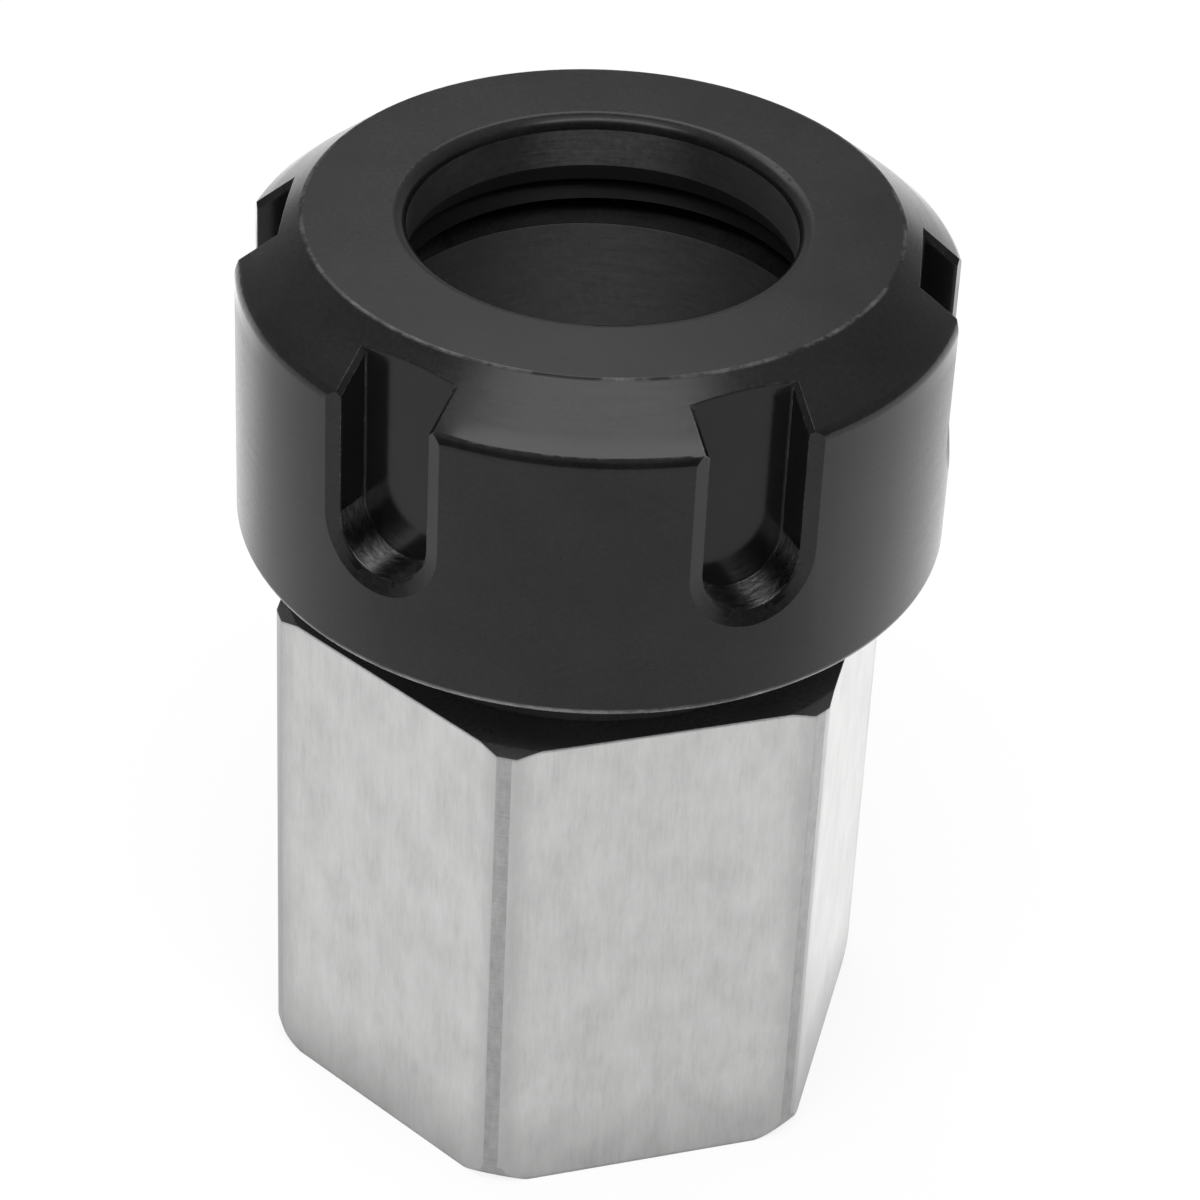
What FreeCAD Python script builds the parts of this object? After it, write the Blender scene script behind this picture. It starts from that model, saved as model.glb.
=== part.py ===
import math
import os

import FreeCAD, Part
import Sketcher

# A hexagonal collet block with its clamping nut, in millimetres.
# Origin: centre of the block's rear face. +Z runs along the axis towards the nut.
# The corners of the hexagon lie at 0, 60, 120 ... degrees from +X.

doc = FreeCAD.newDocument("ColletBlock")
sheet = doc.addObject("Spreadsheet::Sheet", "sizes")

SIZES = [
    ("block_flats", 33.5, "block, width across the ground flats"),
    ("corner_trim", 0.34, "block, turned off each of the hexagon's corners"),
    ("hex_height", 33.2, "block, rear face to shoulder"),
    ("top_chamfer_width", 0.65, "block, shoulder's corner chamfer, across the radius"),
    ("top_chamfer_angle", 30.0, "block, that chamfer, from the shoulder"),
    ("top_crown", 12.0, "block, radius to which that chamfer is crowned"),
    ("rear_chamfer_width", 0.72, "block, rear face's corner chamfer, across the radius"),
    ("rear_chamfer_angle", 60.0, "block, that chamfer, from the rear face"),
    ("rear_crown", 1.6, "block, radius to which that chamfer is crowned"),
    ("nose_dia", 31.8, "block, crests of the fine nose thread (32 nominal)"),
    ("nose_length", 17.15, "block, shoulder to nose face"),
    ("nose_chamfer_share", 0.24, "block, chamfer at the start of the thread, share of the nose's wall"),
    ("runout_depth", 1.0, "block, depth of the thread run-out groove at the shoulder"),
    ("runout_width", 1.3, "block, run-out groove, flat part"),
    ("seat_dia", 26.0, "block, large end of the collet taper"),
    ("seat_half_angle", 8.0, "block, half angle of the collet taper"),
    ("seat_chamfer_share", 0.26, "block, chamfer at the taper's mouth, share of the nose's wall"),
    ("rear_bore_dia", 18.6, "block, through bore behind the taper"),
    ("rear_bore_chamfer", 0.6, "block, chamfer where the bore leaves the rear face"),
    ("nut_dia", 42.0, "nut, outside diameter"),
    ("nut_height", 20.0, "nut, overall height"),
    ("nut_turn", 38.5, "nut, angle of its first slot as it stands"),
    ("nut_cone_height", 3.15, "nut, height of the outside cone"),
    ("face_margin", 0.97, "nut, from the rim of its front face out to a slot's floor"),
    ("nut_foot_round", 0.55, "nut, rounding of the lower edge"),
    ("opening_dia", 22.5, "nut, opening in the front face"),
    ("opening_length", 3.2, "nut, depth of the cylindrical opening"),
    ("opening_round", 0.8, "nut, rounding of the opening's outer edge"),
    ("face_edge_round", 0.4, "nut, rounding between face and cone"),
    ("cone_edge_round", 1.0, "nut, rounding between cone and cylinder"),
    ("press_cone_angle", 30.0, "nut, half angle of the inner cone that presses the collet"),
    ("press_cone_dia", 24.1, "nut, large end of the inner cone"),
    ("snap_groove_depth", 1.0, "nut, groove for the collet's rim, out from the inner cone"),
    ("snap_groove_width", 0.8, "nut, width of that groove, from the inner cone to the lip"),
    ("lip_width", 0.95, "nut, thickness of the extraction lip"),
    ("lip_clearance", 1.17, "nut, gap between its lip and the nose face as it stands"),
    ("lip_dia", 24.7, "nut, eccentric hole through the extraction lip"),
    ("lip_offset", 0.5, "nut, offset of that hole from the axis"),
    ("nut_relief_depth", 0.45, "nut, depth of the groove behind its thread"),
    ("nut_relief_width", 1.8, "nut, width of that groove"),
    ("thread_clearance", 0.05, "radial clearance between nose thread and nut thread"),
    ("entry_chamfer", 0.7, "nut, chamfer where the thread starts"),
    ("slot_count", 6, "nut, number of wrench slots"),
    ("slot_width", 6.0, "nut, width of a slot"),
    ("slot_floor_share", 0.45, "nut, share of the wall that stays under a slot's floor"),
    ("slot_end", 6.2, "nut, height of a slot's round end above the lower face"),
    ("slot_mouth_width", 0.9, "nut, chamfer round a slot's mouth, along the cylinder"),
    ("slot_mouth_depth", 0.38, "nut, chamfer round a slot's mouth, into the slot"),
    ("slot_rim_chamfer", 0.3, "nut, chamfer where a slot's walls leave through the cone"),
]
DERIVED = [
    ("corner_radius", "=block_flats / sqrt(3) - corner_trim", "block, radius over the turned corners"),
    ("top_chamfer_radius", "=corner_radius - top_chamfer_width", "block, inner edge of that chamfer"),
    ("rear_chamfer_radius", "=corner_radius - rear_chamfer_width", "block, inner edge of that chamfer"),
    ("top_slope", "=tan(top_chamfer_angle * 1 deg)", "block, rise of the shoulder's chamfer"),
    ("rear_slope", "=tan(rear_chamfer_angle * 1 deg)", "block, rise of the rear face's chamfer"),
    ("nose_top", "=hex_height + nose_length", "block, height of the nose face"),
    ("nose_wall", "=(nose_dia - seat_dia) / 2", "block, wall of the nose at its face"),
    ("nose_chamfer", "=nose_wall * nose_chamfer_share", "block, chamfer at the start of the thread"),
    ("seat_chamfer", "=nose_wall * seat_chamfer_share", "block, chamfer at the taper's mouth"),
    ("seat_length", "=(seat_dia - rear_bore_dia) / 2 / tan(seat_half_angle * 1 deg)", "block, collet taper"),
    ("thread_radius", "=nose_dia / 2 + thread_clearance", "nut, crests of its thread"),
    ("relief_radius", "=thread_radius + nut_relief_depth", "nut, floor of the groove behind its thread"),
    ("slot_floor", "=thread_radius + slot_floor_share * (nut_dia / 2 - thread_radius)",
     "nut, distance of a slot's floor from the axis"),
    ("face_radius", "=slot_floor - face_margin", "nut, rim of its front face"),
    ("cone_foot", "=nut_height - nut_cone_height", "nut, height where the outside cone starts"),
    ("opening_low", "=nut_height - opening_length", "nut, lower end of the opening's wall"),
    ("press_cone_low", "=opening_low - (press_cone_dia - opening_dia) / 2 / tan(press_cone_angle * 1 deg)",
     "nut, lower end of the inner cone"),
    ("lip_top", "=press_cone_low - snap_groove_width", "nut, upper side of the lip"),
    ("lip_low", "=lip_top - lip_width", "nut, lower side of the lip"),
    ("relief_low", "=lip_low - nut_relief_width", "nut, lower end of the groove behind its thread"),
    ("nut_foot", "=nose_top + lip_clearance - lip_low", "nut, height of its lower face as it stands"),
]
for row, (alias, value, note) in enumerate(SIZES + DERIVED, start=1):
    sheet.set("A%d" % row, note)
    sheet.set("B%d" % row, str(value))
    sheet.setAlias("B%d" % row, alias)
doc.recompute()


def size(name):
    value = getattr(sheet, name)
    return float(getattr(value, "Value", value))


def origin_plane(body, role):
    for feature in body.Origin.OriginFeatures:
        if feature.Role == role:
            return feature
    raise RuntimeError("no origin plane " + role)


def new_sketch(body, name, role):
    sketch = body.newObject("Sketcher::SketchObject", name)
    sketch.AttachmentSupport = [(origin_plane(body, role), "")]
    sketch.MapMode = "FlatFace"
    return sketch


def bound(sketch, kind, args, value, expression):
    number = sketch.addConstraint(Sketcher.Constraint(kind, *args, value))
    sketch.setExpression("Constraints[%d]" % number, expression)


def closed_profile(sketch, corners):
    # Corners run anticlockwise: radius, height and, where the side that starts there is crowned,
    # the crown's radius, each as an expression.
    points = [FreeCAD.Vector(sheet_value(c[0]), sheet_value(c[1]) if c[1] else 0, 0) for c in corners]
    count = len(points)
    for i, (radius, height, crown) in enumerate(corners):
        start, end = points[i], points[(i + 1) % count]
        side = crowned(start, end, sheet_value(crown)) if crown else Part.LineSegment(start, end)
        sketch.addGeometry(side, False)
    for i in range(count):
        sketch.addConstraint(Sketcher.Constraint("Coincident", i, 2, (i + 1) % count, 1))
    for i, (radius, height, crown) in enumerate(corners):
        bound(sketch, "DistanceX", (-1, 1, i, 1), points[i].x, radius)
        if height:
            bound(sketch, "DistanceY", (-1, 1, i, 1), points[i].y, height)
        else:
            sketch.addConstraint(Sketcher.Constraint("PointOnObject", i, 1, -1))
        if crown:
            bound(sketch, "Radius", (i,), sheet_value(crown), crown)


def crowned(start, end, radius):
    # an arc from start to end that bulges to the right of that direction
    chord = end - start
    middle = (start + end) * 0.5
    inward = FreeCAD.Vector(-chord.y, chord.x, 0).normalize()
    centre = middle + inward * math.sqrt(radius ** 2 - (chord.Length / 2) ** 2)
    first, last = start - centre, end - centre
    circle = Part.Circle(centre, FreeCAD.Vector(0, 0, 1), radius)
    return Part.ArcOfCircle(circle, math.atan2(first.y, first.x), math.atan2(last.y, last.x))


def corner(radius, height=None, crown=None):
    return (radius, height, crown)


probe = doc.addObject("Part::Feature", "probe")


def sheet_value(expression):
    value = probe.evalExpression(expression)
    return float(getattr(value, "Value", value))


def revolve(body, sketch, name):
    turned = body.newObject("PartDesign::Revolution", name)
    turned.Profile = sketch
    turned.ReferenceAxis = (sketch, ["V_Axis"])
    turned.Angle = 360
    doc.recompute()
    return turned


def checked_cut(before, after, name):
    # least volume that a cut takes away, in cubic millimetres
    least = 0.5
    if before - after.Shape.Volume < least:
        raise RuntimeError(name + " removed nothing")
    return after.Shape.Volume


def edges_where(shape, test):
    return ["Edge%d" % (i + 1) for i, edge in enumerate(shape.Edges) if test(edge)]


def dress(body, kind, name, base, edges, prop, expression):
    if not edges:
        raise RuntimeError(name + " found no edge")
    feature = body.newObject("PartDesign::" + kind, name)
    feature.Base = (base, edges)
    feature.setExpression(prop, expression)
    doc.recompute()
    return feature


# The block: one turned piece, its hexagon ground afterwards.
block = doc.addObject("PartDesign::Body", "block")
block.Label = "hex_block"

runout_radius = "sizes.nose_dia / 2 - sizes.runout_depth"
runout_top = "sizes.hex_height + sizes.runout_width"
seat_top = "sizes.nose_top - sizes.seat_chamfer"

block_profile = new_sketch(block, "block_profile", "XZ_Plane")
closed_profile(block_profile, [
    corner("sizes.rear_bore_dia / 2 + sizes.rear_bore_chamfer"),
    corner("sizes.rear_chamfer_radius", crown="sizes.rear_crown"),
    corner("sizes.corner_radius", "sizes.rear_chamfer_width * sizes.rear_slope"),
    corner("sizes.corner_radius", "sizes.hex_height - sizes.top_chamfer_width * sizes.top_slope",
           "sizes.top_crown"),
    corner("sizes.top_chamfer_radius", "sizes.hex_height"),
    corner(runout_radius, "sizes.hex_height"),
    corner(runout_radius, runout_top),
    corner("sizes.nose_dia / 2", runout_top + " + sizes.runout_depth"),
    corner("sizes.nose_dia / 2", "sizes.nose_top - sizes.nose_chamfer"),
    corner("sizes.nose_dia / 2 - sizes.nose_chamfer", "sizes.nose_top"),
    corner("sizes.seat_dia / 2 + sizes.seat_chamfer", "sizes.nose_top"),
    corner("sizes.seat_dia / 2", seat_top),
    corner("sizes.rear_bore_dia / 2", seat_top + " - sizes.seat_length"),
    corner("sizes.rear_bore_dia / 2", "sizes.rear_bore_chamfer"),
])
doc.recompute()
block_turned = revolve(block, block_profile, "block_turned")
volume = block_turned.Shape.Volume

# Hexagon: everything outside it is cut away below the shoulder.
hex_sketch = new_sketch(block, "hexagon", "XY_Plane")
hex_radius = sheet_value("sizes.block_flats / sqrt(3)")
turn = FreeCAD.Rotation(FreeCAD.Vector(0, 0, 1), 60)
vertex = FreeCAD.Vector(hex_radius, 0, 0)
for side in range(6):
    following = turn.multVec(vertex)
    hex_sketch.addGeometry(Part.LineSegment(vertex, following), False)
    vertex = following
guide = Part.Circle(FreeCAD.Vector(0, 0, 0), FreeCAD.Vector(0, 0, 1), hex_radius)
hex_sketch.addGeometry(guide, True)
hex_sketch.addConstraint(Sketcher.Constraint("Coincident", 6, 3, -1, 1))
for side in range(6):
    hex_sketch.addConstraint(Sketcher.Constraint("Coincident", side, 2, (side + 1) % 6, 1))
    hex_sketch.addConstraint(Sketcher.Constraint("PointOnObject", side, 1, 6))
for side in range(5):
    hex_sketch.addConstraint(Sketcher.Constraint("Equal", side, side + 1))
hex_sketch.addConstraint(Sketcher.Constraint("PointOnObject", 0, 1, -1))
bound(hex_sketch, "Radius", (6,), hex_radius, "sizes.block_flats / sqrt(3)")
waste_radius = size("block_flats")
waste = Part.Circle(FreeCAD.Vector(0, 0, 0), FreeCAD.Vector(0, 0, 1), waste_radius)
hex_sketch.addGeometry(waste, False)
hex_sketch.addConstraint(Sketcher.Constraint("Coincident", 7, 3, -1, 1))
bound(hex_sketch, "Radius", (7,), waste_radius, "sizes.block_flats")
doc.recompute()

flats = block.newObject("PartDesign::Pocket", "flats")
flats.Profile = hex_sketch
flats.Reversed = True
flats.Length = size("hex_height")
flats.setExpression("Length", "sizes.hex_height")
doc.recompute()
checked_cut(volume, flats, "flats")
block.Tip = flats

# The nut: turned, then six slots milled in from the rim.
nut = doc.addObject("PartDesign::Body", "nut")
nut.Label = "clamping_nut"

lip_radius = "sizes.lip_dia / 2 - sizes.lip_offset"

nut_profile = new_sketch(nut, "nut_profile", "XZ_Plane")
closed_profile(nut_profile, [
    corner("sizes.thread_radius + sizes.entry_chamfer"),
    corner("sizes.nut_dia / 2"),
    corner("sizes.nut_dia / 2", "sizes.cone_foot"),
    corner("sizes.face_radius", "sizes.nut_height"),
    corner("sizes.opening_dia / 2", "sizes.nut_height"),
    corner("sizes.opening_dia / 2", "sizes.opening_low"),
    corner("sizes.press_cone_dia / 2", "sizes.press_cone_low"),
    corner("sizes.press_cone_dia / 2 + sizes.snap_groove_depth", "sizes.press_cone_low"),
    corner("sizes.press_cone_dia / 2 + sizes.snap_groove_depth", "sizes.lip_top"),
    corner(lip_radius, "sizes.lip_top"),
    corner(lip_radius, "sizes.lip_low"),
    corner("sizes.relief_radius", "sizes.lip_low"),
    corner("sizes.relief_radius", "sizes.relief_low"),
    corner("sizes.thread_radius", "sizes.relief_low - sizes.nut_relief_depth"),
    corner("sizes.thread_radius", "sizes.entry_chamfer"),
])
doc.recompute()
nut_turned = revolve(nut, nut_profile, "nut_turned")
volume = nut_turned.Shape.Volume

# Eccentric hole through the lip: the lip snaps into the collet's groove on one side.
lip_sketch = new_sketch(nut, "lip_hole", "XY_Plane")
lip_sketch.AttachmentOffset = FreeCAD.Placement(
    FreeCAD.Vector(0, 0, size("lip_low")), FreeCAD.Rotation())
lip_sketch.setExpression("AttachmentOffset.Base.z", "sizes.lip_low")
lip_centre = FreeCAD.Vector(size("lip_offset"), 0, 0)
lip_sketch.addGeometry(Part.Circle(lip_centre, FreeCAD.Vector(0, 0, 1), size("lip_dia") / 2), False)
lip_sketch.addConstraint(Sketcher.Constraint("PointOnObject", 0, 3, -1))
bound(lip_sketch, "DistanceX", (-1, 1, 0, 3), size("lip_offset"), "sizes.lip_offset")
bound(lip_sketch, "Radius", (0,), size("lip_dia") / 2, "sizes.lip_dia / 2")
doc.recompute()
lip_hole = nut.newObject("PartDesign::Pocket", "lip_bored")
lip_hole.Profile = lip_sketch
lip_hole.Reversed = True
lip_hole.Length = size("lip_width")
lip_hole.setExpression("Length", "sizes.lip_width")
doc.recompute()
volume = checked_cut(volume, lip_hole, "lip_bored")

# One slot: parallel walls, a flat floor across the radius and a half-round lower end.
slot_sketch = new_sketch(nut, "slot", "YZ_Plane")
slot_sketch.AttachmentOffset = FreeCAD.Placement(
    FreeCAD.Vector(0, 0, size("slot_floor")), FreeCAD.Rotation())
slot_sketch.setExpression("AttachmentOffset.Base.z", "sizes.slot_floor")
half = size("slot_width") / 2
centre_height = size("slot_end") + half
over = size("nut_height") + half
slot_sketch.addGeometry(Part.LineSegment(
    FreeCAD.Vector(half, centre_height, 0), FreeCAD.Vector(half, over, 0)), False)
slot_sketch.addGeometry(Part.LineSegment(
    FreeCAD.Vector(half, over, 0), FreeCAD.Vector(-half, over, 0)), False)
slot_sketch.addGeometry(Part.LineSegment(
    FreeCAD.Vector(-half, over, 0), FreeCAD.Vector(-half, centre_height, 0)), False)
round_end = Part.Circle(FreeCAD.Vector(0, centre_height, 0), FreeCAD.Vector(0, 0, 1), half)
slot_sketch.addGeometry(Part.ArcOfCircle(round_end, math.pi, 2 * math.pi), False)
slot_sketch.addConstraint(Sketcher.Constraint("Coincident", 0, 2, 1, 1))
slot_sketch.addConstraint(Sketcher.Constraint("Coincident", 1, 2, 2, 1))
slot_sketch.addConstraint(Sketcher.Constraint("Tangent", 2, 2, 3, 1))
slot_sketch.addConstraint(Sketcher.Constraint("Tangent", 0, 1, 3, 2))
slot_sketch.addConstraint(Sketcher.Constraint("Vertical", 0))
slot_sketch.addConstraint(Sketcher.Constraint("Horizontal", 1))
slot_sketch.addConstraint(Sketcher.Constraint("PointOnObject", 3, 3, -2))
bound(slot_sketch, "Radius", (3,), half, "sizes.slot_width / 2")
bound(slot_sketch, "DistanceY", (-1, 1, 3, 3), centre_height, "sizes.slot_end + sizes.slot_width / 2")
bound(slot_sketch, "DistanceY", (-1, 1, 0, 2), over, "sizes.nut_height + sizes.slot_width / 2")
doc.recompute()
slot = nut.newObject("PartDesign::Pocket", "slot_cut")
slot.Profile = slot_sketch
slot.Reversed = True
slot.Length = size("nut_dia") / 2
slot.setExpression("Length", "sizes.nut_dia / 2")
doc.recompute()
one_slot = volume - slot.Shape.Volume
checked_cut(volume, slot, "slot_cut")

slots = nut.newObject("PartDesign::PolarPattern", "slots")
slots.Originals = [slot]
for feature in nut.Origin.OriginFeatures:
    if feature.Role == "Z_Axis":
        slots.Axis = (feature, [""])
slots.Angle = 360
slots.Occurrences = int(size("slot_count"))
slots.setExpression("Occurrences", "sizes.slot_count")
nut.Tip = slots
doc.recompute()
all_slots = one_slot * size("slot_count")
slot_share_off = abs(volume - slots.Shape.Volume - all_slots) / all_slots
if slot_share_off > 0.01:
    raise RuntimeError("the slots are not all cut")

# Edges of the slots. A slot's own direction is turned back to +X before it is measured.
TOUCH = 1e-3
step = 360.0 / size("slot_count")
outer_radius = size("nut_dia") / 2
face_radius = size("face_radius")
cone_rise = size("nut_cone_height") / (outer_radius - face_radius)


def in_slot(point):
    degrees = math.degrees(math.atan2(point.y, point.x))
    nearest = round(degrees / step) * step
    return FreeCAD.Rotation(FreeCAD.Vector(0, 0, 1), -nearest).multVec(point)


def edge_points(edge):
    first, last = edge.ParameterRange
    return [in_slot(edge.valueAt(first + (last - first) * k / 4.0)) for k in range(5)]


def reach(point):
    return math.hypot(point.x, point.y)


def mouth_edge(edge):
    pts = edge_points(edge)
    on_cylinder = all(abs(reach(p) - outer_radius) < TOUCH for p in pts)
    in_mouth = all(abs(p.y) < half + TOUCH and p.z > size("slot_end") - TOUCH for p in pts)
    return on_cylinder and in_mouth


def rim_edge(edge):
    pts = edge_points(edge)
    on_wall = all(abs(abs(p.y) - half) < TOUCH for p in pts)
    on_cone = all(abs(size("cone_foot") + (outer_radius - reach(p)) * cone_rise - p.z) < TOUCH for p in pts)
    return on_wall and on_cone


def ring_edge(radius, height):
    def test(edge):
        return all(abs(reach(p) - radius) < TOUCH and abs(p.z - height) < TOUCH for p in edge_points(edge))
    return test


mouths = dress(nut, "Chamfer", "slot_mouths", slots,
               edges_where(slots.Shape, mouth_edge), "Size", "sizes.slot_mouth_width")
mouths.ChamferType = "Two distances"
mouths.setExpression("Size2", "sizes.slot_mouth_depth")
doc.recompute()
rims = dress(nut, "Chamfer", "slot_rims", mouths,
             edges_where(mouths.Shape, rim_edge), "Size", "sizes.slot_rim_chamfer")
cone_edge = dress(nut, "Fillet", "cone_edge", rims,
                  edges_where(rims.Shape, ring_edge(outer_radius, size("cone_foot"))),
                  "Radius", "sizes.cone_edge_round")
face_edge = dress(nut, "Fillet", "face_edge", cone_edge,
                  edges_where(cone_edge.Shape, ring_edge(face_radius, size("nut_height"))),
                  "Radius", "sizes.face_edge_round")
opening_edge = dress(nut, "Fillet", "opening_edge", face_edge,
                     edges_where(face_edge.Shape, ring_edge(size("opening_dia") / 2, size("nut_height"))),
                     "Radius", "sizes.opening_round")
foot_edge = dress(nut, "Fillet", "foot_edge", opening_edge,
                  edges_where(opening_edge.Shape, ring_edge(outer_radius, 0)),
                  "Radius", "sizes.nut_foot_round")
nut.Tip = foot_edge

# The nut as it stands on the nose.
nut.setExpression("Placement.Base.z", "sizes.nut_foot")
nut.Placement = FreeCAD.Placement(
    FreeCAD.Vector(0, 0, size("nut_foot")),
    FreeCAD.Rotation(FreeCAD.Vector(0, 0, 1), size("nut_turn")))
nut.setExpression("Placement.Rotation.Angle", "sizes.nut_turn * 1 deg")
doc.recompute()

doc.removeObject("probe")
doc.recompute()

for item in doc.Objects:
    if "Invalid" in item.State or "Error" in item.State:
        raise RuntimeError(item.Name + " is " + str(item.State))

os.makedirs("parts", exist_ok=True)
for body in (block, nut):
    shape = body.Shape
    if shape.isNull() or not shape.isValid() or len(shape.Solids) != 1:
        raise RuntimeError(body.Label + " is not one valid solid")
    shape.exportStep("parts/%s.step" % body.Label)
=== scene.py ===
import math

import bmesh
import bpy
from mathutils import Matrix, Vector


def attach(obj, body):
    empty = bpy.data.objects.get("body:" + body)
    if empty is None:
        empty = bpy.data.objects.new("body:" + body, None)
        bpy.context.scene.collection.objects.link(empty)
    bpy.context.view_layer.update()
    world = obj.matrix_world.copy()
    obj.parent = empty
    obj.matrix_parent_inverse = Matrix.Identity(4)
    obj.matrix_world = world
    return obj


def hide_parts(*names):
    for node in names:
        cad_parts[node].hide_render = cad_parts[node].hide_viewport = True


# A collet block: a ground hexagonal block with a threaded nose, and its black clamping nut.
# Sizes are in millimetres and the meshes in metres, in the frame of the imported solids.
MM = 0.001

# The block, the same sizes as its solid.
FLATS = 33.5
CORNER_RADIUS = FLATS / math.sqrt(3) - 0.34
HEX_HEIGHT = 33.2
TOP_CHAMFER = 0.65
TOP_SLOPE = math.tan(math.radians(30))
REAR_CHAMFER = 0.72
REAR_RISE = REAR_CHAMFER * math.tan(math.radians(60))
REAR_CROWN = 1.6
NOSE_RADIUS = 15.9
NOSE_TOP = 50.35
NOSE_CHAMFER = 0.696
RUNOUT_DEPTH = 1.0
RUNOUT_WIDTH = 1.3
RUNOUT_BEVEL = 0.25
SEAT_RADIUS = 13.0
SEAT_CHAMFER = 0.754
SEAT_TAPER = math.tan(math.radians(8))
BORE_RADIUS = 9.3
BORE_CHAMFER = 0.6

# The nose thread, a fine right-hand one, cut inward from the solid's cylinder.
PITCH = 1.5
THREAD_DEPTH = 0.86
CREST_SHARE = 0.125

# The block's mesh: a ring of points on its rear face, and the steps between its columns in degrees,
# which are finer within a few degrees of a corner.
REAR_RING = 13.0
PLAIN_STEP = 1.6
CORNER_STEP = 0.6
CORNER_SPAN = 8
WELD = 0.0004
SMOOTH_ANGLE = math.radians(24)

# Material slots on the block's mesh.
GROUND, TURNED, BLACK, NOSE, SEAT = range(5)

# The nut, as it stands. Inside OPENING_REACH it is bored, but for the rounding of its opening.
NUT_FOOT = 37.856
NUT_TOP = 57.856
NUT_RADIUS = 21.0
OPENING_REACH = 16.6
OPENING_ROUNDING = 0.85
OPENING_LENGTH = 3.2
SLOT_ANGLE = 38.5
SLOT_STEP = 60
SLOT_HALF = 3.0
SLOT_FLOOR = 18.2225
SLOT_END = 6.2
SLOT_EDGE = 0.3

# Material slots on the nut's mesh.
OXIDE, MILLED, BORED, PLUNGED, SHADED_INNER = range(5)

# Worn lines round the nut: radius, height, width, and the noise between which wear starts and is full.
RIMS = (
    (17.2, NUT_TOP - 0.1, 0.17, 0.46, 0.72),
    (20.78, NUT_FOOT + 0.22, 0.42, 0.36, 0.6))
# The smoother circle where the cone meets the cylinder: radius, height.
CONE_EDGE = (20.6, NUT_TOP - 3.4)
# A worn spot on one slot's rim: its place and its radius.
KNOCK = (-0.31, -19.9, 55.6)
KNOCK_RADIUS = 2.0

# The camera, as fitted to the photograph.
CAMERA_ELEVATION = 35.619
CAMERA_ROLL = 2.846
CAMERA_DISTANCE = 260.4
CAMERA_TARGET = (0.886, 0.0, 30.906)
CAMERA_FOCAL_PX = 4296.03
CAMERA_YAW = -17.975
IMAGE_PX = 1200

# The lamps: name, direction from the block, size in metres, power in watts.
LAMPS = (
    ("top", (-0.03, -0.09, 1.0), (0.45, 0.3), 0.5),
    ("front", (-0.135, -0.417, 0.899), (0.62, 0.2), 1.85),
    ("back", (-0.093, 0.662, 0.743), (0.5, 0.2), 0.75))
LAMP_DISTANCE = 0.6
LAMP_AIM = (0, 0, 0.03)

# The studio. The floor lies just below the block, so that the two never share a plane.
FLOOR_HALF = 1.5
FLOOR_DROP = 0.02
FLOOR_GREY = 0.95
# The side where the floor glows brighter in reflections, a painted glow with no lamp.
GLOW_SIDE = (0.682, 0.731, 0)
WALL_GREY = 0.38
WALL_GREY_IN_FRONT = 0.02
CEILING_GREY = 0.55
SOFT_LIGHT = 0.6


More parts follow.
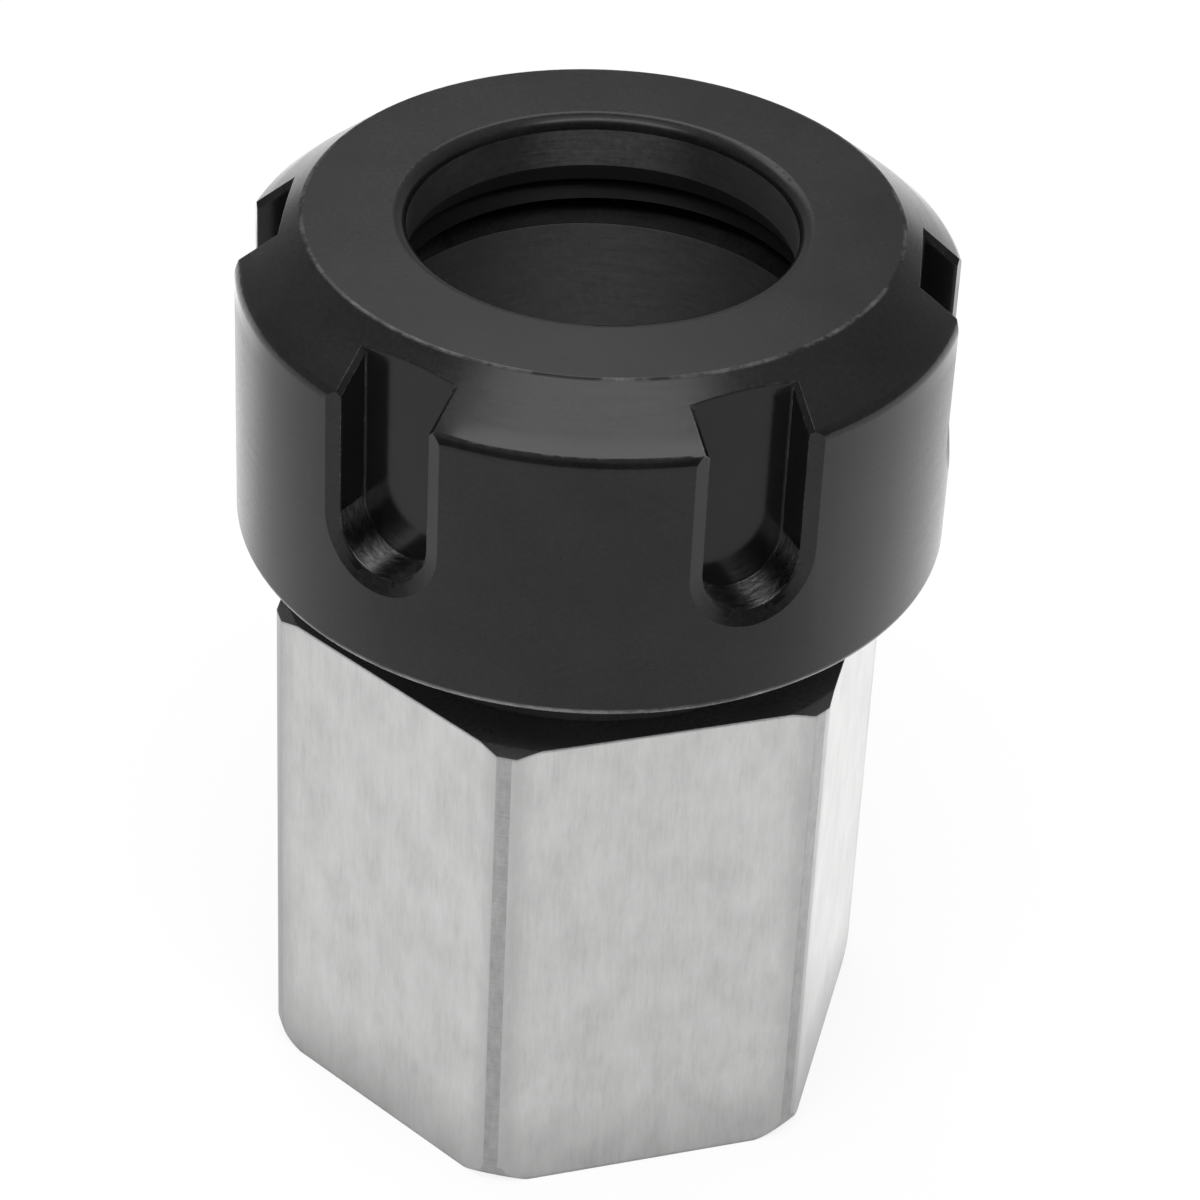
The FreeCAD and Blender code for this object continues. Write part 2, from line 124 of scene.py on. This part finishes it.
class Nodes:
    """A short way to write the node tree of a material or of the world."""

    def __init__(self, owner):
        owner.use_nodes = True
        self.owner = owner
        self.tree = owner.node_tree
        self.shader = self.tree.nodes.get("Principled BSDF")

    def add(self, kind, **values):
        node = self.tree.nodes.new(kind)
        for key, value in values.items():
            setattr(node, key, value)
        return node

    def feed(self, socket, value):
        """Links another node's output to the socket, or sets a number, a vector or a colour."""
        if isinstance(value, bpy.types.NodeSocket):
            self.tree.links.new(value, socket)
        elif socket.type == "RGBA":
            socket.default_value = (*value, 1)
        else:
            socket.default_value = value

    def surface(self, **values):
        """Feeds the shader's sockets, each named with _ for its space."""
        for name, value in values.items():
            self.feed(self.shader.inputs[name.replace("_", " ")], value)

    def place(self, stretch=(1, 1, 1)):
        """Object coordinates in millimetres, each axis multiplied by its stretch."""
        coords = self.add("ShaderNodeTexCoord")
        mapping = self.add("ShaderNodeMapping")
        mapping.inputs["Scale"].default_value = [s / MM for s in stretch]
        self.feed(mapping.inputs["Vector"], coords.outputs["Object"])
        return mapping.outputs["Vector"]

    def part(self, axis):
        node = self.add("ShaderNodeSeparateXYZ")
        self.feed(node.inputs[0], self.place())
        return node.outputs[axis]

    def vector(self, x, y, z):
        node = self.add("ShaderNodeCombineXYZ")
        for socket, value in zip(node.inputs, (x, y, z)):
            self.feed(socket, value)
        return node.outputs["Vector"]

    def math(self, operation, *values):
        node = self.add("ShaderNodeMath", operation=operation)
        for socket, value in zip(node.inputs, values):
            self.feed(socket, value)
        return node.outputs["Value"]

    def vector_math(self, operation, first, second):
        node = self.add("ShaderNodeVectorMath", operation=operation)
        self.feed(node.inputs[0], first)
        self.feed(node.inputs[1], second)
        return node.outputs["Value"]

    def blend(self, first, second, share):
        """A sum of two values, where the second has this share and the first the rest."""
        return self.math("ADD", self.math("MULTIPLY", first, 1 - share), self.math("MULTIPLY", second, share))

    def length(self, first, second):
        squares = [self.math("POWER", value, 2.0) for value in (first, second)]
        return self.math("SQRT", self.math("ADD", *squares))

    def reach(self):
        """Distance from the axis, in millimetres."""
        return self.length(self.part("X"), self.part("Y"))

    def ring(self, radius, height):
        """Distance from the circle of this radius at this height."""
        across = self.math("SUBTRACT", self.reach(), radius)
        return self.length(across, self.math("SUBTRACT", self.part("Z"), height))

    def noise(self, vector, detail=2.0, roughness=0.5):
        node = self.add("ShaderNodeTexNoise")
        node.inputs["Scale"].default_value = 1.0
        node.inputs["Detail"].default_value = detail
        node.inputs["Roughness"].default_value = roughness
        self.feed(node.inputs["Vector"], vector)
        return node.outputs["Fac"]

    def spread(self, value, low, high, start=0.0, end=1.0):
        """Maps start..end to low..high, held at the ends."""
        node = self.add("ShaderNodeMapRange", clamp=True)
        self.feed(node.inputs["Value"], value)
        for socket, number in (("From Min", start), ("From Max", end), ("To Min", low), ("To Max", high)):
            node.inputs[socket].default_value = number
        return node.outputs["Result"]

    def colours(self, value, *stops):
        """A colour for each place from 0 to 1: (place, (red, green, blue))."""
        node = self.add("ShaderNodeValToRGB")
        ramp = node.color_ramp
        while len(ramp.elements) < len(stops):
            ramp.elements.new(0.5)
        for element, (place, colour) in zip(ramp.elements, stops):
            element.position = place
            element.color = (*colour, 1)
        self.feed(node.inputs["Fac"], value)
        return node.outputs["Color"]

    def mix(self, share, first, second):
        node = self.add("ShaderNodeMix", data_type="RGBA")
        for socket, value in zip((node.inputs["Factor"], node.inputs[6], node.inputs[7]), (share, first, second)):
            self.feed(socket, value)
        return node.outputs[2]

    def mix_shaders(self, share, first, second):
        node = self.add("ShaderNodeMixShader")
        for socket, value in zip(node.inputs, (share, first, second)):
            self.feed(socket, value)
        return node.outputs["Shader"]

    def softened(self, radius):
        """The surface's normal with its edges rounded to this radius in millimetres."""
        node = self.add("ShaderNodeBevel", samples=6)
        node.inputs["Radius"].default_value = radius * MM
        return node.outputs["Normal"]

    def relief(self, height, distance, rounding):
        """Bump of this height in millimetres on edges rounded to this radius."""
        bump = self.add("ShaderNodeBump")
        bump.inputs["Distance"].default_value = distance * MM
        bump.inputs["Strength"].default_value = 1.0
        self.feed(bump.inputs["Height"], height)
        self.feed(bump.inputs["Normal"], self.softened(rounding))
        self.surface(Normal=bump.outputs["Normal"])

    def wear(self, radius, low, high):
        """0 on plain surface, 1 on edges that stand out."""
        geometry = self.add("ShaderNodeNewGeometry")
        turn = self.vector_math("DOT_PRODUCT", self.softened(radius), geometry.outputs["Normal"])
        return self.spread(turn, 1.0, 0.0, low, high)

    def rays(self):
        """Two values: 1 for the camera's own rays, and 1 for mirrored and refracted ones."""
        path = self.add("ShaderNodeLightPath")
        mirrored = self.math("MAXIMUM", path.outputs["Is Glossy Ray"], path.outputs["Is Transmission Ray"])
        return path.outputs["Is Camera Ray"], mirrored


def new_material(name):
    return Nodes(bpy.data.materials.new(name))


def steel(grey):
    """A bare steel, a touch warmer than grey."""
    return grey, grey, grey * 0.994


def oxide(grey):
    """A finish over steel, a touch cooler than grey."""
    return grey, grey, grey * 1.008


def ground_steel():
    """The six flats, ground along the axis, running into the turned corners with a worn, uneven edge."""
    n = new_material("ground_steel")
    fine = n.noise(n.place((7, 7, 0.7)), 5.0, 0.68)
    strokes = n.noise(n.place((2.4, 2.4, 0.3)), 4.0, 0.65)
    patches = n.noise(n.place((0.42, 0.42, 0.24)), 4.0, 0.62)
    grain = n.blend(fine, strokes, 0.5)
    shade = n.blend(grain, patches, 0.45)
    tint = n.colours(shade, (0.34, steel(0.42)), (0.5, steel(0.515)), (0.66, steel(0.59)))
    # Painted shade: the flats darken towards the floor over their lowest 6 mm.
    painted_foot_shade = n.spread(n.part("Z"), 0.32, 0.0, 0.0, 6.0)
    tint = n.mix(painted_foot_shade, tint, (0.12, 0.12, 0.12))
    ragged = n.math("MULTIPLY_ADD", n.noise(n.place((3, 3, 0.9)), 3.0, 0.6), 0.5, n.reach())
    corner = n.spread(ragged, 0.0, 0.8, CORNER_RADIUS - 0.3, CORNER_RADIUS + 0.32)
    n.surface(
        Base_Color=n.mix(corner, tint, steel(0.38)),
        Roughness=n.spread(grain, 0.3, 0.46, 0.3, 0.7),
        Metallic=1.0)
    n.relief(grain, 0.012, 0.4)
    return n.owner


def turned_steel():
    n = new_material("turned_steel")
    rings = n.noise(n.place((0.3, 0.3, 8)), 3.0, 0.6)
    patches = n.noise(n.place((2.2, 2.2, 0.8)), 4.0, 0.65)
    shade = n.blend(rings, patches, 0.65)
    tint = n.colours(shade, (0.32, steel(0.25)), (0.68, steel(0.39)))
    n.surface(
        Base_Color=n.mix(n.wear(0.2, 0.8, 0.99), tint, steel(0.5)),
        Roughness=n.spread(shade, 0.34, 0.5, 0.3, 0.7),
        Metallic=1.0)
    n.relief(shade, 0.012, 0.4)
    return n.owner


def black_oxide(name, depth, rough, rounding, shades, sheen):
    """A black finish, worn in specks on its edges, with the values that a richer one is built on."""
    n = new_material(name)
    speckle = n.noise(n.place((3.2, 3.2, 3.2)), 4.0, 0.65)
    patches = n.noise(n.place((0.2, 0.2, 0.2)), 3.0)
    lines = n.noise(n.place((0.25, 0.25, 9)))
    shade = n.blend(speckle, patches, 0.5)
    tint = n.colours(shade, *((place, (grey, grey, grey * 1.04)) for place, grey in zip((0.3, 0.7), shades)))
    worn = n.wear(0.12, 0.8, 0.985)
    specks = n.math("MULTIPLY", worn, n.spread(shade, 0.0, 1.0, 0.52, 0.62))
    colour = n.mix(specks, tint, oxide(0.1))
    texture = n.blend(speckle, lines, 0.4)
    dull = n.spread(texture, *rough, 0.3, 0.7)
    n.surface(Base_Color=colour, Roughness=dull, IOR=sheen)
    n.relief(texture, depth, rounding)
    return n, worn, colour, dull


def nut_oxide():
    """The nut's black outside, with uneven bare lines along its rims and a smoother cone edge."""
    n, worn, colour, dull = black_oxide("nut_oxide", 0.003, (0.2, 0.3), 0.05, (0.004, 0.012), 1.32)
    away = n.vector_math("DISTANCE", n.place(), KNOCK)
    bare = n.math("MULTIPLY", worn, n.spread(away, 1.0, 0.0, KNOCK_RADIUS * 0.5, KNOCK_RADIUS))
    for radius, height, width, start, end in RIMS:
        uneven = n.blend(n.noise(n.place((0.35, 0.35, 0.35))), n.noise(n.place((2.4, 2.4, 2.4)), 4.0, 0.7), 0.4)
        near = n.spread(n.ring(radius, height), 1.0, 0.0, width * 0.2, width)
        line = n.math("MULTIPLY", near, n.spread(uneven, 0.0, 1.0, start, end))
        bare = n.math("MAXIMUM", bare, line)
    n.surface(
        Base_Color=n.mix(bare, colour, oxide(0.24)),
        Roughness=n.math("MULTIPLY", dull, n.spread(n.ring(*CONE_EDGE), 0.5, 1.0, 0.7, 1.6)),
        Metallic=n.math("MULTIPLY", bare, 0.8))
    return n.owner


def plain_oxide(*values):
    return black_oxide(*values)[0].owner


def plunged_oxide():
    """The round ends of the slots: the cutter's ridges spread the light along the slot's depth."""
    n = new_material("plunged_oxide")
    angle = n.math("ARCTAN2", n.part("Y"), n.part("X"))
    first, step = math.radians(SLOT_ANGLE), math.radians(SLOT_STEP)
    nearest = n.math("ROUND", n.math("DIVIDE", n.math("SUBTRACT", angle, first), step))
    middle = n.math("MULTIPLY_ADD", nearest, step, first)
    outward = n.vector(n.math("COSINE", middle), n.math("SINE", middle), 0.0)
    turned = n.add("ShaderNodeVectorTransform", vector_type="VECTOR", convert_from="OBJECT", convert_to="WORLD")
    n.feed(turned.inputs["Vector"], outward)
    ridges = n.vector(
        n.math("MULTIPLY", n.reach(), 5.0), n.math("MULTIPLY", angle, 26.0), n.math("MULTIPLY", n.part("Z"), 1.3))
    marks = n.noise(ridges, 4.0, 0.7)
    n.surface(
        Base_Color=n.colours(marks, (0.35, oxide(0.15)), (0.65, oxide(0.45))),
        Roughness=n.spread(marks, 0.2, 0.26, 0.3, 0.7),
        Metallic=1.0,
        Anisotropic=0.9,
        Tangent=turned.outputs["Vector"])
    n.relief(marks, 0.02, 0.02)
    return n.owner


def bored_steel(name, dark, light, roughness, along=0.9):
    """Turned inside: the fine rings spread the light along the axis."""
    n = new_material(name)
    rings = n.noise(n.place((0.4, 0.4, 10)), 3.0, 0.6)
    speckle = n.noise(n.place((2.6, 2.6, 2.6)), 4.0, 0.7)
    shade = n.blend(rings, speckle, 0.5)
    round_axis = n.add("ShaderNodeTangent", direction_type="RADIAL", axis="Z")
    n.surface(
        Base_Color=n.colours(shade, (0.3, oxide(dark)), (0.7, oxide(light))),
        Roughness=n.spread(shade, roughness - 0.06, roughness + 0.06, 0.3, 0.7),
        Metallic=1.0,
        Anisotropic=along,
        Anisotropic_Rotation=0.25,
        Tangent=round_axis.outputs["Tangent"])
    n.relief(shade, 0.005, 0.12)
    return n.owner


def sector_angles():
    """Angles of the mesh's columns: every edge of the turned corners, and even steps between."""
    half_flats = FLATS / 2
    marks = [0.0, 30.0]
    for radius in (CORNER_RADIUS, CORNER_RADIUS - TOP_CHAMFER, CORNER_RADIUS - REAR_CHAMFER):
        marks.append(30 - math.degrees(math.acos(half_flats / radius)))
    marks.sort()
    angles = []
    for low, high in zip(marks, marks[1:]):
        step = CORNER_STEP if low > marks[0] and high < CORNER_SPAN else PLAIN_STEP
        steps = max(1, math.ceil((high - low) / step))
        angles += [low + (high - low) * i / steps for i in range(steps)]
    angles.append(30.0)
    mirrored = [60 - a for a in reversed(angles[1:-1])]
    sector = angles + mirrored
    return [math.radians(60 * k + a) for k in range(6) for a in sector]


def flat_radius(angle):
    """Distance of the hexagon's side from the axis at this angle; its corners lie at 0, 60, 120 degrees."""
    from_side = (angle + math.pi / 6) % (math.pi / 3) - math.pi / 6
    return FLATS / 2 / math.cos(math.pi / 6 - abs(from_side))


def rear_height(radius):
    """Height of the rear face's crowned corner chamfer at this distance from the axis."""
    inner = CORNER_RADIUS - REAR_CHAMFER
    if radius <= inner:
        return 0.0
    chord = math.hypot(REAR_CHAMFER, REAR_RISE)
    lift = math.sqrt(REAR_CROWN ** 2 - chord ** 2 / 4) / chord
    centre = (inner + REAR_CHAMFER / 2 - REAR_RISE * lift, REAR_RISE / 2 + REAR_CHAMFER * lift)
    return max(0.0, centre[1] - math.sqrt(REAR_CROWN ** 2 - (radius - centre[0]) ** 2))


def nose_radius(height, turn):
    """The nose's outline under its thread, between the run-out groove and the nose face."""
    crest = PITCH * CREST_SHARE
    flank = PITCH / 2 - crest
    along = ((height - HEX_HEIGHT - RUNOUT_WIDTH) / PITCH - turn) % 1.0 * PITCH
    rise = max(0.0, along - crest) if along < PITCH / 2 + crest else PITCH - along
    depth = min(1.0, rise / flank)
    bevel = NOSE_RADIUS - NOSE_CHAMFER + NOSE_TOP - height
    groove = NOSE_RADIUS - RUNOUT_DEPTH + height - HEX_HEIGHT - RUNOUT_WIDTH
    return min(NOSE_RADIUS - THREAD_DEPTH * depth, bevel, groove)


def thread_rows(angle):
    """Radius and height at this angle, from the nose face down to the run-out groove."""
    turn = angle / (2 * math.pi)
    low = HEX_HEIGHT + RUNOUT_WIDTH
    crest = PITCH * CREST_SHARE
    rows = []
    for k in range(math.ceil((NOSE_TOP - low) / PITCH) + 1, -2, -1):
        for offset in (PITCH / 2 + crest, PITCH / 2, crest, 0.0):
            height = min(max(low + PITCH * (k + turn) + offset, low), NOSE_TOP)
            rows.append((nose_radius(height, turn), height))
    return rows


def block_columns():
    """For each angle, the points from the bore's lower edge out, up and back down inside.

    Each point carries the finish of the face that starts at it.
    """
    columns = []
    rear_inner = CORNER_RADIUS - REAR_CHAMFER
    top_inner = CORNER_RADIUS - TOP_CHAMFER
    seat_low = NOSE_TOP - SEAT_CHAMFER - (SEAT_RADIUS - BORE_RADIUS) / SEAT_TAPER
    for angle in sector_angles() + [2 * math.pi]:
        side = min(flat_radius(angle), CORNER_RADIUS)
        rear = min(side, rear_inner)
        wall_low = rear_height(side)
        wall_high = HEX_HEIGHT - max(0.0, side - top_inner) * TOP_SLOPE
        wall = TURNED if flat_radius(angle) >= CORNER_RADIUS else GROUND
        points = [
            (BORE_RADIUS + BORE_CHAMFER, 0.0, TURNED),
            (REAR_RING, 0.0, TURNED),
            (rear, 0.0, TURNED)]
        for share in (0.25, 0.45, 0.62, 0.76, 0.88, 0.96):
            radius = rear + (side - rear) * share
            points.append((radius, rear_height(radius), TURNED))
        points.append((side, wall_low, wall))
        for share in (0.08, 0.3, 0.55, 0.8, 0.94):
            points.append((side, wall_low + (wall_high - wall_low) * share, wall))
        points += [
            (side, wall_high, BLACK),
            (min(side, top_inner), HEX_HEIGHT, BLACK),
            (NOSE_RADIUS - RUNOUT_DEPTH + RUNOUT_BEVEL, HEX_HEIGHT, BLACK),
            (NOSE_RADIUS - RUNOUT_DEPTH, HEX_HEIGHT + RUNOUT_BEVEL, BLACK),
            (NOSE_RADIUS - RUNOUT_DEPTH, HEX_HEIGHT + RUNOUT_WIDTH, BLACK)]
        points += [(radius, height, NOSE) for radius, height in reversed(thread_rows(angle))]
        points += [
            (SEAT_RADIUS + SEAT_CHAMFER, NOSE_TOP, NOSE),
            (SEAT_RADIUS, NOSE_TOP - SEAT_CHAMFER, SEAT),
            (0.5 * (SEAT_RADIUS + BORE_RADIUS), 0.5 * (NOSE_TOP - SEAT_CHAMFER + seat_low), SEAT),
            (BORE_RADIUS, seat_low, SEAT),
            (BORE_RADIUS, 0.5 * seat_low, SEAT),
            (BORE_RADIUS, BORE_CHAMFER, TURNED)]
        columns.append((angle, points))
    return columns


def block_piece():
    columns = block_columns()
    mesh = bpy.data.meshes.new("hex_block_dressed")
    bm = bmesh.new()
    grid = []
    for angle, points in columns:
        x, y = math.cos(angle), math.sin(angle)
        grid.append([bm.verts.new((r * x * MM, r * y * MM, h * MM)) for r, h, finish in points])
    rows = len(grid[0])
    for i in range(len(grid) - 1):
        finishes = [min(here[2], there[2]) if TURNED in (here[2], there[2]) else here[2]
                    for here, there in zip(columns[i][1], columns[i + 1][1])]
        for j, finish in enumerate(finishes):
            k = (j + 1) % rows
            face = bm.faces.new([grid[i][j], grid[i + 1][j], grid[i + 1][k], grid[i][k]])
            face.material_index = finish
    bmesh.ops.remove_doubles(bm, verts=bm.verts, dist=WELD * MM)
    bmesh.ops.dissolve_degenerate(bm, dist=WELD * MM, edges=bm.edges)
    bmesh.ops.recalc_face_normals(bm, faces=bm.faces)
    bm.to_mesh(mesh)
    bm.free()
    piece = bpy.data.objects.new("hex_block_dressed", mesh)
    bpy.context.scene.collection.objects.link(piece)
    for material in (
            ground_steel(),
            turned_steel(),
            plain_oxide("block_oxide", 0.003, (0.24, 0.34), 0.14, (0.04, 0.065), 1.35),
            plain_oxide("nose_oxide", 0.008, (0.4, 0.55), 0.2, (0.001, 0.02), 1.15),
            bored_steel("seat_steel", 0.12, 0.175, 0.64, 0.45)):
        mesh.materials.append(material)
    mesh.shade_smooth()
    mesh.set_sharp_from_angle(angle=SMOOTH_ANGLE)
    return piece


def dress_nut(node):
    """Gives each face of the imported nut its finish."""
    mesh = node.data
    mesh.materials.clear()
    for material in (
            nut_oxide(),
            plain_oxide("milled_oxide", 0.002, (0.1, 0.16), 0.3, (0.003, 0.007), 1.31),
            bored_steel("bored_oxide", 0.15, 0.21, 0.4),
            plunged_oxide(),
            # Painted shade: the inside below the bore gets a darker, rougher copy of the bored finish.
            bored_steel("shaded_inner_oxide", 0.05, 0.07, 0.7)):
        mesh.materials.append(material)
    for face in mesh.polygons:
        centre = face.center / MM
        angle = math.degrees(math.atan2(centre.y, centre.x)) - SLOT_ANGLE
        folded = (angle + SLOT_STEP / 2) % SLOT_STEP - SLOT_STEP / 2
        reach = math.hypot(centre.x, centre.y)
        across, out = reach * math.sin(math.radians(folded)), reach * math.cos(math.radians(folded))
        middle = math.radians(angle - folded + SLOT_ANGLE)
        facing = face.normal.dot(Vector((math.cos(middle), math.sin(middle), 0)))
        height = centre.z - NUT_FOOT
        between_walls = abs(across) < SLOT_HALF + 0.02 and height > SLOT_END
        above_floor = SLOT_FLOOR - 0.05 < out < NUT_RADIUS - SLOT_EDGE
        finish = OXIDE
        if reach < OPENING_REACH and centre.z < NUT_TOP - OPENING_ROUNDING:
            # Below the bore the inside takes the darker copy, which is painted shade.
            finish = BORED if centre.z > NUT_TOP - OPENING_LENGTH else SHADED_INNER
        if between_walls and above_floor:
            finish = PLUNGED if abs(facing) < 0.2 and height < SLOT_END + SLOT_HALF else MILLED
        face.material_index = finish


def add_floor():
    """White to the camera, a painted glow brighter behind the block to what mirrors it, and plain paper to other
    light.
    """
    mesh = bpy.data.meshes.new("floor")
    square = ((-1, -1), (1, -1), (1, 1), (-1, 1))
    mesh.from_pydata([(x * FLOOR_HALF, y * FLOOR_HALF, -FLOOR_DROP * MM) for x, y in square], [], [(0, 1, 2, 3)])
    floor = bpy.data.objects.new("floor", mesh)
    bpy.context.scene.collection.objects.link(floor)
    n = new_material("floor")
    n.surface(Base_Color=(FLOOR_GREY,) * 3, Roughness=0.9, Specular_IOR_Level=0.0)
    camera, mirrored = n.rays()
    # Painted glow: mirrored rays see the floor shine brighter on its side behind the block.
    behind = n.vector_math("DOT_PRODUCT", n.place(), GLOW_SIDE)
    painted_glow = n.math("MULTIPLY", n.spread(behind, 0.0, 0.9, -12.0, 14.0), mirrored)
    plain = n.spread(n.reach(), 0.85, 1.0, 40.0, 300.0)
    white = n.add("ShaderNodeEmission")
    n.feed(white.inputs["Color"], (1, 1, 1))
    n.feed(white.inputs["Strength"], n.math("ADD", painted_glow, 1.0))
    share = n.math("ADD", n.math("MULTIPLY", camera, plain), n.math("MULTIPLY", painted_glow, 0.6))
    paper = n.mix_shaders(share, n.shader.outputs["BSDF"], white.outputs["Emission"])
    under = n.add("ShaderNodeNewGeometry").outputs["Backfacing"]
    clear = n.add("ShaderNodeBsdfTransparent").outputs["BSDF"]
    n.feed(n.tree.nodes["Material Output"].inputs["Surface"], n.mix_shaders(under, paper, clear))
    mesh.materials.append(n.owner)


def add_lamps():
    for name, direction, size, power in LAMPS:
        data = bpy.data.lights.new(name, "AREA")
        data.shape = "RECTANGLE"
        data.size, data.size_y = size
        data.energy = power
        lamp = bpy.data.objects.new(name, data)
        bpy.context.scene.collection.objects.link(lamp)
        aim = Vector(direction).normalized()
        lamp.location = aim * LAMP_DISTANCE + Vector(LAMP_AIM)
        lamp.rotation_euler = aim.to_track_quat("Z", "Y").to_euler()


def add_world():
    """White to the camera, and to metal a tent with a bright ceiling and walls that are darkest in front."""
    n = Nodes(bpy.data.worlds.new("studio"))
    bpy.context.scene.world = n.owner
    camera, mirrored = n.rays()
    ray = n.add("ShaderNodeTexCoord").outputs["Generated"]
    parts = n.add("ShaderNodeSeparateXYZ")
    n.feed(parts.inputs[0], ray)
    yaw = math.radians(CAMERA_YAW)
    facing = n.vector_math("DOT_PRODUCT", ray, (math.sin(yaw), -math.cos(yaw), 0))
    wall = n.spread(facing, WALL_GREY, WALL_GREY_IN_FRONT, 0.1, 0.6)
    ceiling = n.spread(parts.outputs["Z"], 0.0, 1.0, 0.46, 0.68)
    tent = n.math("ADD", wall, n.math("MULTIPLY", ceiling, n.math("SUBTRACT", CEILING_GREY, wall)))
    soft = n.math("MULTIPLY", n.math("SUBTRACT", 1.0, mirrored), SOFT_LIGHT)
    seen = n.math("ADD", n.math("MULTIPLY", tent, mirrored), soft)
    background = n.tree.nodes["Background"]
    n.feed(background.inputs["Color"], (1, 1, 1))
    n.feed(background.inputs["Strength"], n.math("MAXIMUM", seen, camera))


def add_camera():
    lift = math.radians(CAMERA_ELEVATION)
    roll = math.radians(CAMERA_ROLL)
    right = Vector((1, 0, 0))
    up = Vector((0, math.sin(lift), math.cos(lift)))
    back = Vector((0, -math.cos(lift), math.sin(lift)))
    place = (Vector(CAMERA_TARGET) + back * CAMERA_DISTANCE) * MM
    side = right * math.cos(roll) + up * math.sin(roll)
    top = up * math.cos(roll) - right * math.sin(roll)
    stance = Matrix((side, top, back)).transposed().to_4x4()
    stance.translation = place
    data = bpy.data.cameras.new("camera")
    data.sensor_width = 36
    data.lens = data.sensor_width * CAMERA_FOCAL_PX / IMAGE_PX
    data.clip_start = 0.01
    data.clip_end = 10
    camera = bpy.data.objects.new("camera", data)
    bpy.context.scene.collection.objects.link(camera)
    camera.matrix_world = Matrix.Rotation(math.radians(CAMERA_YAW), 4, "Z") @ stance
    bpy.context.scene.camera = camera


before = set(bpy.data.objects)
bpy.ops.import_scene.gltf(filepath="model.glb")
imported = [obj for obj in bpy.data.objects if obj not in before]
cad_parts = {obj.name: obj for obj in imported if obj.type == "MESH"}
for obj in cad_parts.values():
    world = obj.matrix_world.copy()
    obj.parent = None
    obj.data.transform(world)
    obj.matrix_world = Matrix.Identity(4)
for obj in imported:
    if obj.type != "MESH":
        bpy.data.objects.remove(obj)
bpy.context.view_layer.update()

block = block_piece()
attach(block, "block")
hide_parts("hex_block")
dress_nut(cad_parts["clamping_nut"])

add_floor()
add_world()
add_lamps()
add_camera()
bpy.context.scene.view_settings.view_transform = "Standard"
